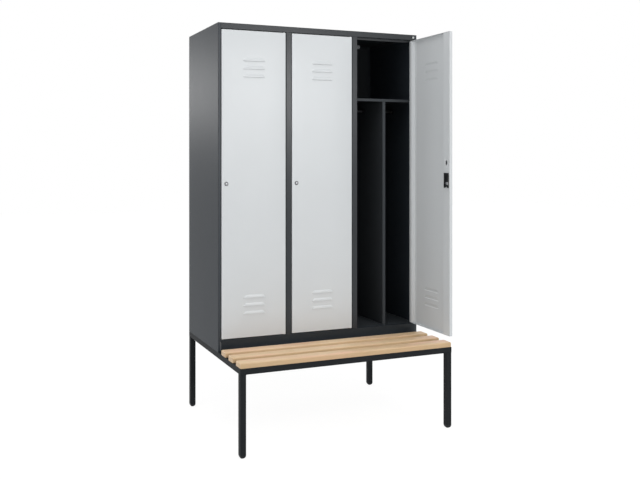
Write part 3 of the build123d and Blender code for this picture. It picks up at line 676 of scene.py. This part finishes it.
@dataclass
class DoorSkin:
    """Outer sheet of a door: a shallow pan with hoods pressed out of it.

    Its own places are those of the closed door: X from the lock edge, Y back from the face and Z up from
    the lower edge. Columns and rows are the lines of its mesh, numbered by i and j.
    """

    shop: Workshop
    number: int
    sharp: float = 50.0
    sheet: float = 0.8 * MM
    fold_radius: float = 1.8 * MM
    fold_steps: int = 5
    hinge_edge: float = 7.0 * MM
    hinge_front: float = 6.0 * MM
    lock_edge: float = 26.0 * MM
    lock_height: float = 801.0 * MM
    lock_hole: float = 8.2 * MM
    lock_square: float = 9.6 * MM
    lock_cells: int = 4
    hood_width: float = 128.0 * MM
    hood_height: float = 17.0 * MM
    hood_reach: float = 3.0 * MM
    hood_nose: float = 2.5 * MM
    hood_slope: float = 4.5 * MM
    hood_taper: float = 16.0 * MM
    hood_corner: float = 4.0 * MM
    hood_pitch: float = 42.0 * MM
    hood_margin: float = 0.75 * MM
    taper_power: float = 1.2
    crown_power: float = 1.1
    hoods: int = 3
    upper_drop: float = 158.5 * MM
    lower_rise: float = 119.5 * MM
    columns_across: int = 60
    rows_up: int = 12
    guard: float = 1.2 * MM

    def __post_init__(self) -> None:
        """Take the size from the first door, which is closed at rest, and lay out columns and rows."""
        low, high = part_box("door_panel_1")
        self.width = high.x - low.x
        self.height = high.z - low.z
        self.bottom = low.z
        self.depth = high.y - (Vector(hinge_joint(1)["pos_m"]).y - self.hinge_front)
        steps = [step * self.hood_pitch for step in range(self.hoods)]
        self.lips = [self.lower_rise + step for step in steps]
        self.lips += [self.height - self.upper_drop - step for step in steps]
        lock_columns = self.lock_lines(self.lock_edge)
        lock_rows = self.lock_lines(self.lock_height)
        self.columns = [self.fold_radius, *lock_columns, *self.hood_columns(), self.width - self.fold_radius]
        rows = [self.fold_radius, *lock_rows, self.height - self.fold_radius]
        for lip in self.lips:
            rows += [lip + self.hood_height * step / self.rows_up for step in range(self.rows_up + 1)]
            rows += [lip - self.guard, lip + self.hood_height + self.guard]
        self.rows = sorted(rows)
        self.lock_corner = (self.columns.index(lock_columns[0]), self.rows.index(lock_rows[0]))
        self.shell = Shell()
        self.numbers: dict[tuple[int, int, bool], int] = {}

    @cached_property
    def matrix(self) -> Matrix:
        """Takes the skin's own places to where the door stands at rest."""
        joint = hinge_joint(self.number)
        x, y, _ = joint["pos_m"]
        turn = Matrix.Rotation(-math.radians(joint["range_deg"][0]), 4, "Z")
        to_axis = Matrix.Translation((self.hinge_edge - self.width, -self.hinge_front, self.bottom))
        return Matrix.Translation((x, y, 0.0)) @ turn @ to_axis

    def seat(self, x: float, y: float, z: float, facing: Facing) -> Matrix:
        """Return the matrix that takes Z to the way that a turned piece faces at one of these places."""
        turn = Matrix.Rotation(math.radians(facing.value), 4, "X")
        return self.matrix @ Matrix.Translation((x, y, z)) @ turn

    def make(self, kind: str, shell: Shell, slot: str, sharp: float, node: str = "",
             thickness: float = 0.0) -> None:
        """Make a piece of this door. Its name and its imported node's end in the door's number."""
        node = f"{node}_{self.number}" if node else ""
        self.shop.make(f"{kind}_{self.number}", shell, f"door_{self.number}", slot, sharp, node,
                       thickness=thickness)

    def lock_lines(self, middle: float) -> list[float]:
        """Return the mesh lines through the square round the lock, from the lock's place on an axis."""
        shares = [2 * step / self.lock_cells - 1 for step in range(self.lock_cells + 1)]
        return [middle + self.lock_square * share for share in shares]

    def hood_columns(self) -> list[float]:
        """Return the mesh columns across the hoods, closer together towards both ends."""
        reach = self.hood_width / 2 + self.hood_margin
        angles = [math.pi * step / self.columns_across for step in range(self.columns_across + 1)]
        return [self.width / 2 - reach * math.cos(angle) for angle in angles]

    def hood(self, x: float, rise: float) -> float:
        """Return how far the sheet stands out of the door's face inside a hood.

        Args:
            x: Place from the lock edge.
            rise: Height above the lip.

        Returns:
            The distance out of the face.
        """
        if not 0.0 <= rise < self.hood_height:
            return 0.0
        half = self.hood_width / 2 - self.hood_taper * (rise / self.hood_height) ** self.taper_power
        low = max(1.0 - rise / self.hood_corner, 0.0)
        half -= self.hood_corner * (1.0 - math.sqrt(1.0 - low * low))
        inside = min(max((half - abs(x - self.width / 2)) / self.hood_slope, 0.0), 1.0)
        ends = inside * inside * (3.0 - 2.0 * inside)
        share = max(rise - self.hood_nose, 0.0) / (self.hood_height - self.hood_nose)
        return self.hood_reach * ends * (1.0 - share * share) ** self.crown_power

    def corner(self, i: int, j: int, over: bool = False) -> int:
        """Return the number of a grid point, which is added when it is new.

        Args:
            i: Its column.
            j: Its row.
            over: Whether it is on the hood's side of a lip.

        Returns:
            The number.
        """
        x, z = self.columns[i], self.rows[j]
        lip = max((lip for lip in self.lips if lip <= z + TOUCH), default=-self.height)
        rise = max(z - lip, 0.0)
        on_lip = rise < TOUCH
        out = self.hood(x, rise) if over or not on_lip else 0.0
        key = (i, j, over and on_lip and out > 0.0)
        if key not in self.numbers:
            self.numbers[key] = self.shell.add([(x, -out, z)])[0]
        return self.numbers[key]

    def loop(self, i: int, j: int, across: int, up: int) -> list[tuple[int, int]]:
        """Return the grid points round a rectangle of cells.

        Args:
            i: Its first column.
            j: Its first row.
            across: Number of cells across.
            up: Number of cells up.

        Returns:
            The columns and rows of the points, counterclockwise from the front.
        """
        points = [(i + step, j) for step in range(across)]
        points += [(i + across, j + step) for step in range(up)]
        points += [(i + across - step, j + up) for step in range(across)]
        points += [(i, j + up - step) for step in range(up)]
        return points

    def lay_face(self) -> None:
        """Lay the cells of the face, with a slit at each lip and a gap for the lock."""
        gap_i, gap_j = (range(first, first + self.lock_cells) for first in self.lock_corner)
        for i in range(len(self.columns) - 1):
            for j in range(len(self.rows) - 1):
                if i not in gap_i or j not in gap_j:
                    lower = (self.corner(i, j, True), self.corner(i + 1, j, True))
                    upper = (self.corner(i, j + 1), self.corner(i + 1, j + 1))
                    self.shell.join(lower, upper)

    def cut_lock_hole(self) -> None:
        """Fill the square round the lock with a ring that leaves a round hole."""
        loop = self.loop(*self.lock_corner, self.lock_cells, self.lock_cells)
        outer = [self.corner(i, j) for i, j in loop]
        hole = []
        for i, j in loop:
            aim = Vector((self.columns[i] - self.lock_edge, self.rows[j] - self.lock_height)).normalized()
            x, z = self.lock_edge + aim.x * self.lock_hole, self.lock_height + aim.y * self.lock_hole
            hole.append((x, 0.0, z))
        self.shell.join(outer, self.shell.add(hole), True)

    def fold_rim(self) -> None:
        """Fold the sheet's edges back, round a small radius."""
        last_i = len(self.columns) - 1
        last_j = len(self.rows) - 1
        loop = self.loop(0, 0, last_i, last_j)
        inner = [self.corner(i, j) for i, j in loop]
        bends = [(self.fold_radius * sine, self.fold_radius * (1 - cosine))
                 for sine, cosine in quarter(self.fold_steps)[1:]]
        for out, back in (*bends, (self.fold_radius, self.depth)):
            ring = []
            for i, j in loop:
                side = (i == last_i) - (i == 0)
                up = (j == last_j) - (j == 0)
                ring.append((self.columns[i] + side * out, back, self.rows[j] + up * out))
            outer = self.shell.add(ring)
            self.shell.join(outer, inner, True)
            inner = outer

    def build(self) -> None:
        """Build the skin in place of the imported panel."""
        self.lay_face()
        self.cut_lock_hole()
        self.fold_rim()
        self.shell.points = [self.matrix @ Vector(point) for point in self.shell.points]
        self.make("door_skin", self.shell, "door_paint", self.sharp, "door_panel", self.sheet)


@dataclass
class LockFittings:
    """What is seen of a door's lock: the rosette in front and the trim of the case behind.

    The dish gives radii and shares of the rosette's height. The rib's section gives shares of its height
    and width, and the screw's head shares of its radius and heights.
    """

    skin: DoorSkin
    rosette_height: float = 2.0 * MM
    rosette_steps: int = 64
    rosette_sharp: float = 40.0
    bore_radius: float = 5.05 * MM
    barrel_radius: float = 8.0 * MM
    dish: tuple[Span, ...] = (
        (5.05 * MM, 0.45), (5.3 * MM, 0.62), (6.1 * MM, 0.66), (6.7 * MM, 0.55), (7.2 * MM, 0.62),
        (8.2 * MM, 0.94), (8.9 * MM, 1.0), (9.6 * MM, 0.93), (10.4 * MM, 0.62), (10.85 * MM, 0.22),
        (11.0 * MM, 0.0),
    )
    case_depth: float = 8.0 * MM
    case_rise: float = 18.0 * MM
    case_width: float = 34.0 * MM
    case_edge: float = 6.0 * MM
    rib_count: int = 4
    rib_pitch: float = 6.5 * MM
    rib_height: float = 0.5 * MM
    rib_width: float = 1.6 * MM
    rib_margin: float = 6.0 * MM
    rib_sharp: float = 20.0
    rib_section: tuple[Span, ...] = (
        (-1.0, 0.0), (0.7, 0.12), (1.0, 0.3), (1.0, 0.7), (0.7, 0.88), (-1.0, 1.0),
    )
    screw_radius: float = 3.0 * MM
    screw_rise: float = 48.0 * MM
    screw_offset: float = 10.0 * MM
    screw_steps: int = 24
    screw_sharp: float = 35.0
    screw_head: tuple[Span, ...] = (
        (0.34, 0.05 * MM), (0.42, 0.55 * MM), (0.8, 0.5 * MM), (1.0, 0.2 * MM), (1.0, -0.5 * MM),
    )

    def __post_init__(self) -> None:
        """Find the cover of the case, as its distance behind the door's face."""
        self.cover = self.skin.depth + self.case_depth

    def rosette(self) -> None:
        """Build the dark nickel rosette with its dished ring and the housing behind it."""
        profile = [(radius, self.rosette_height * share) for radius, share in self.dish]
        profile += [(self.barrel_radius, 0.0), (self.barrel_radius, -self.skin.depth)]
        profile.append((self.bore_radius, -self.skin.depth))
        place = self.skin.seat(self.skin.lock_edge, 0.0, self.skin.lock_height, Facing.OUTWARDS)
        shell = Shell()
        shell.spin(profile, place, self.rosette_steps, ring=True)
        self.skin.make("lock_rosette", shell, "dark_nickel", self.rosette_sharp, "lock_barrel")

    def ribs(self) -> None:
        """Build the low ribs moulded on the case's cover above the bolt."""
        shell = Shell()
        left = self.case_edge + self.rib_margin
        right = self.case_edge + self.case_width - self.rib_margin
        for number in range(self.rib_count):
            low = self.skin.lock_height + self.case_rise + number * self.rib_pitch
            section = [(self.cover + self.rib_height * out, low + self.rib_width * up)
                       for out, up in self.rib_section]
            here, there = (
                shell.add(self.skin.matrix @ Vector((x, y, z)) for y, z in section)
                for x in (left, right)
            )
            shell.join(there, here)
            shell.faces += [here, there[::-1]]
        self.skin.make("lock_case_ribs", shell, "black_plastic", self.rib_sharp)

    def screws(self) -> None:
        """Build the two countersunk screws that hold the case."""
        shell = Shell()
        profile = [(self.screw_radius * share, height) for share, height in self.screw_head]
        middle = self.case_edge + self.case_width / 2
        height = self.skin.lock_height + self.screw_rise
        for x in (middle - self.screw_offset, middle + self.screw_offset):
            place = self.skin.seat(x, self.cover, height, Facing.INWARDS)
            shell.spin(profile, place, self.screw_steps)
        self.skin.make("lock_case_screws", shell, "black_plastic", self.screw_sharp)

    def build(self) -> None:
        """Build the lock's pieces."""
        self.rosette()
        self.ribs()
        self.screws()


@dataclass
class ChannelWelds:
    """Spot welds along the feet of both channels of a door: small dished rings under the paint.

    The ring gives shares of the weld's radius and of how far it stands proud.
    """

    skin: DoorSkin
    pitch: float = 100.0 * MM
    margin: float = 45.0 * MM
    hinge_channel: float = 32.0 * MM
    lock_channel: float = 54.0 * MM
    foot: float = 10.0 * MM
    radius: float = 3.2 * MM
    proud: float = 0.18 * MM
    sunk: float = 0.3 * MM
    steps: int = 20
    sharp: float = 60.0
    ring: tuple[Span, ...] = ((0.12, 0.25), (0.5, 0.35), (0.72, 1.0), (0.88, 0.8), (1.0, 0.0))

    def build(self) -> None:
        """Build one piece with all the marks, which face inwards."""
        skin = self.skin
        profile = [(self.radius * across, self.proud * rise) for across, rise in self.ring]
        profile.append((self.radius, -self.sunk))
        length = skin.height - 2 * self.margin
        count = round(length / self.pitch)
        shell = Shell()
        for x in (skin.width - self.hinge_channel - self.foot / 2, self.lock_channel + self.foot / 2):
            for number in range(count + 1):
                height = self.margin + number * (length / count)
                shell.spin(profile, skin.seat(x, 2 * skin.sheet, height, Facing.INWARDS), self.steps)
        skin.make("channel_welds", shell, "door_paint", self.sharp)


@dataclass
class Door:
    """One door with its skin, lock fittings and channel welds."""

    shop: Workshop
    number: int

    def build(self) -> None:
        """Build the door's modelled pieces."""
        skin = DoorSkin(self.shop, self.number)
        skin.build()
        LockFittings(skin).build()
        ChannelWelds(skin).build()


@dataclass
class Seat:
    """Beech slats of the seat, with rounded ends and edges."""

    shop: Workshop
    nodes: tuple[str, ...] = ("slat_front", "slat_middle", "slat_rear")
    first_seed: float = 1.7
    seed_step: float = 2.3
    end_radius: float = 7.0 * MM
    top_radius: float = 6.0 * MM
    bottom_radius: float = 2.0 * MM
    least_radius: float = 1.0 * MM
    corner_steps: int = 10
    edge_steps: int = 9
    length_cells: int = 24
    sharp: float = 40.0

    def slat(self, node: str, seed: float) -> None:
        """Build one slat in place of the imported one.

        Args:
            node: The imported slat.
            seed: Seed of its wood.
        """
        low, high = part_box(node)
        turns = quarter(self.edge_steps)
        levels = [(self.bottom_radius * (1 - sine), low.z + self.bottom_radius * (1 - cosine))
                  for sine, cosine in turns]
        levels += [(self.top_radius * (1 - cosine), high.z - self.top_radius * (1 - sine))
                   for sine, cosine in turns]
        shell = Shell()
        shell.stack(
            rounded_ring(low, high, max(self.end_radius - inset, self.least_radius), inset, height,
                         self.corner_steps, self.length_cells)
            for inset, height in levels
        )
        wood = BeechLacquer(f"beech_{node}", seed).material()
        self.shop.make(f"beech_{node}", shell, "root", "beech", self.sharp, node, wood)

    def build(self) -> None:
        """Build the slats, each with wood of its own."""
        for number, node in enumerate(self.nodes):
            self.slat(node, self.first_seed + self.seed_step * number)


@dataclass
class Feet:
    """Rounded plastic feet under the four legs."""

    shop: Workshop
    tube: float = 30.0 * MM
    corner_radius: float = 2.5 * MM
    sole_inset: float = 12.0 * MM
    corner_steps: int = 8
    sole_steps: int = 14
    sharp: float = 40.0

    def build(self) -> None:
        """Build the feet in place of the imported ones."""
        low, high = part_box("legs")
        levels = [(self.sole_inset * (1 - cosine), low.z * (1 - sine))
                  for sine, cosine in reversed(quarter(self.sole_steps))]
        size = Vector((self.tube, self.tube, 0.0))
        shell = Shell()
        for x in (low.x, high.x - self.tube):
            for y in (low.y, high.y - self.tube):
                corner = Vector((x, y, 0.0))
                rings = []
                for inset, height in levels:
                    radius = min(self.corner_radius + inset / 2, self.tube / 2 - inset)
                    rings.append(rounded_ring(corner, corner + size, radius, inset, height,
                                              self.corner_steps))
                shell.stack(rings)
        self.shop.make("rounded_feet", shell, "root", "black_plastic", self.sharp, "feet")


@dataclass
class BenchFrame:
    """Weld beads of the square tube frame and its legs."""

    shop: Workshop
    tube: float = 30.0 * MM
    inset: float = 2.0 * MM
    bead_radius: float = 2.4 * MM
    bead_points: int = 8
    ripple_pitch: float = 2.2 * MM
    ripple_share: float = 0.14
    ripple_steps: int = 4
    end_share: float = 0.25
    end_growth: float = 4.0
    sharp: float = 70.0

    def bead(self, shell: Shell, start: Point, end: Point) -> None:
        """Add one rippled bead along a line.

        Args:
            shell: Shell that it is added to.
            start: Where the bead starts.
            end: Where it ends.
        """
        first = Vector(start)
        run = Vector(end) - first
        along = run.normalized()
        side = along.orthogonal().normalized()
        up = along.cross(side)
        length = run.length
        steps = max(self.ripple_steps, round(length / self.ripple_pitch * self.ripple_steps))
        rings = []
        for step in range(steps + 1):
            share = step / steps
            ripple = 1.0 + self.ripple_share * math.sin(math.tau * share * length / self.ripple_pitch)
            bulge = self.end_growth * math.sqrt(max(share * (1.0 - share), 0.0))
            radius = self.bead_radius * ripple * min(1.0, bulge + self.end_share)
            angles = [math.tau * turn / self.bead_points for turn in range(self.bead_points)]
            rings.append([
                first + along * length * share
                + (side * math.cos(angle) * radius + up * math.sin(angle) * radius)
                for angle in angles
            ])
        shell.stack(rings)

    def build(self) -> None:
        """Build the beads where the legs and the cross rail meet the frame."""
        low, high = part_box("legs")
        cross_low, cross_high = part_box("frame_cross_rail")
        shell = Shell()
        top = high.z
        for side_x, x in ((1, low.x), (-1, high.x)):
            for side_y, y in ((1, low.y), (-1, high.y)):
                inner_x = x + side_x * self.tube
                inner_y = y + side_y * self.tube
                in_x = side_x * self.inset
                in_y = side_y * self.inset
                self.bead(shell, (inner_x, y + in_y, top), (inner_x, inner_y - in_y, top))
                self.bead(shell, (x + in_x, inner_y, top), (inner_x - in_x, inner_y, top))
        for x in (cross_low.x, cross_high.x):
            for y in (cross_low.y, cross_high.y):
                self.bead(shell, (x, y, cross_low.z + self.inset), (x, y, cross_high.z - self.inset))
        self.shop.make("frame_weld_beads", shell, "root", "frame_paint", self.sharp)


@dataclass
class Carcass:
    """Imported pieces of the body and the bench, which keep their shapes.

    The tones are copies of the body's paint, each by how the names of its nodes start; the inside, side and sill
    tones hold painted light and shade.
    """

    shop: Workshop
    tones: tuple[tuple[str, str], ...] = (
        ("inner_wall", "inside"), ("floor_panel", "inside"), ("top_panel", "inside"),
        ("partition", "inside"), ("hat_shelf", "inside"), ("side_panel", "side"), ("back_panel", "back"),
        ("bottom_rail", "sill"),
    )

    def dress(self) -> None:
        """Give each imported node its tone, or the finish of its slot."""
        for row in frame["record"]["subparts"]:
            node = row["node"]
            finish = next((tone for kind, tone in self.tones if node.startswith(kind)), row["material_slot"])
            material = self.shop.materials.get(finish)
            if material is not None:
                frame["nodes"][node].material_slots[0].material = material


@dataclass(frozen=True)
class Lamp:
    """Soft rectangular lamp, with its place, what it points at, its width and height, and its watts."""

    name: str
    place: Point
    aim: Point
    size: Span
    power: float

    def hang(self) -> None:
        """Hang the lamp where the camera doesn't see it."""
        light = bpy.data.lights.new(self.name, "AREA")
        light.shape = "RECTANGLE"
        light.size, light.size_y = self.size
        light.energy = self.power
        lamp = show(self.name, light)
        lamp.location = self.place
        lamp.rotation_euler = (Vector(self.aim) - Vector(self.place)).to_track_quat("-Z", "Y").to_euler()
        lamp.visible_camera = False


@dataclass
class Studio:
    """Pale floor, plain light and the photograph's camera."""

    camera_place: Point = (-1.87003, -3.66390, 1.43458)
    camera_yaw: float = 20.04
    lens: float = 41.47
    sensor: float = 36.0
    shift_right: float = 0.1498
    shift_up: float = -0.1292
    sight: float = 100.0
    floor_size: float = 30.0
    floor_tint: Colour = (0.9, 0.9, 0.9)
    floor_roughness: float = 0.9
    floor_gloss: float = 0.1
    floor_glow: float = 1.13
    glow_share: float = 0.8
    ambient: float = 0.55
    lamps: tuple[Lamp, ...] = (
        Lamp("overhead", (-0.6, -1.5, 4.6), (0.0, -0.3, 0.5), (4.0, 3.0), 56.0),
        Lamp("front_right", (1.5, -4.6, 2.2), (0.0, -0.1, 1.4), (1.5, 0.8), 54.0),
        Lamp("left", (-4.5, -1.5, 1.5), (0.4, -0.3, 1.3), (2.0, 1.2), 30.0),
        Lamp("left_rear", (-2.7, 6.0, 2.35), (-0.6, 0.2, 1.8), (1.2, 0.9), 28.0),
    )

    def camera(self) -> None:
        """Add the camera at the photograph's viewing angle."""
        data = bpy.data.cameras.new("photo_camera")
        data.lens = self.lens
        data.sensor_width = self.sensor
        data.shift_x = self.shift_right
        data.shift_y = self.shift_up
        data.clip_end = self.sight
        camera = show("photo_camera", data)
        camera.location = self.camera_place
        camera.rotation_euler = (math.pi / 2, 0.0, -math.radians(self.camera_yaw))
        bpy.context.scene.camera = camera

    def floor(self) -> None:
        """Build the floor, which shows white and keeps a faint shadow."""
        half = self.floor_size / 2
        mesh = bpy.data.meshes.new("studio_floor")
        corners = [(-half, -half, 0.0), (half, -half, 0.0), (half, half, 0.0), (-half, half, 0.0)]
        mesh.from_pydata(corners, [], [(0, 1, 2, 3)])
        show("studio_floor", mesh)
        sketch = NodeSketch(bpy.data.materials.new("floor_white"))
        mesh.materials.append(sketch.shade(Base_Color=self.floor_tint, Roughness=self.floor_roughness,
                                           Specular_IOR_Level=self.floor_gloss))
        share = sketch.calculate("MULTIPLY", sketch.seen(), self.glow_share)
        glow = sketch.add("ShaderNodeEmission", {"Strength": self.floor_glow})
        mixed = sketch.add("ShaderNodeMixShader", {0: share, 1: sketch.shader.outputs[0], 2: glow[0]})
        sketch.feed(sketch.output.inputs["Surface"], mixed[0])

    def world(self) -> None:
        """Build the surroundings, white where they are seen and softer where they light."""
        sketch = NodeSketch(bpy.data.worlds.new("studio"))
        strength = sketch.spread(sketch.seen(), WHOLE, (self.ambient, 1.0))
        bpy.context.scene.world = sketch.shade(Color=(1.0, 1.0, 1.0), Strength=strength)

    def build(self) -> None:
        """Set up the camera, floor, surroundings and lamps."""
        bpy.context.scene.view_settings.view_transform = "Standard"
        self.camera()
        self.floor()
        self.world()
        for lamp in self.lamps:
            lamp.hang()


def main() -> None:
    """Set up the studio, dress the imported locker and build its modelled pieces."""
    logging.basicConfig(level=logging.INFO, format="%(name)s: %(message)s")
    Studio().build()
    shop = Workshop(Finishes().materials())
    Carcass(shop).dress()
    BenchFrame(shop).build()
    Feet(shop).build()
    for number in (1, 2, 3):
        Door(shop, number).build()
    Seat(shop).build()
    for piece in shop.pieces:
        LOG.info("%s: %d faces", piece.name, len(piece.data.polygons))


if __name__ == "__main__":
    main()
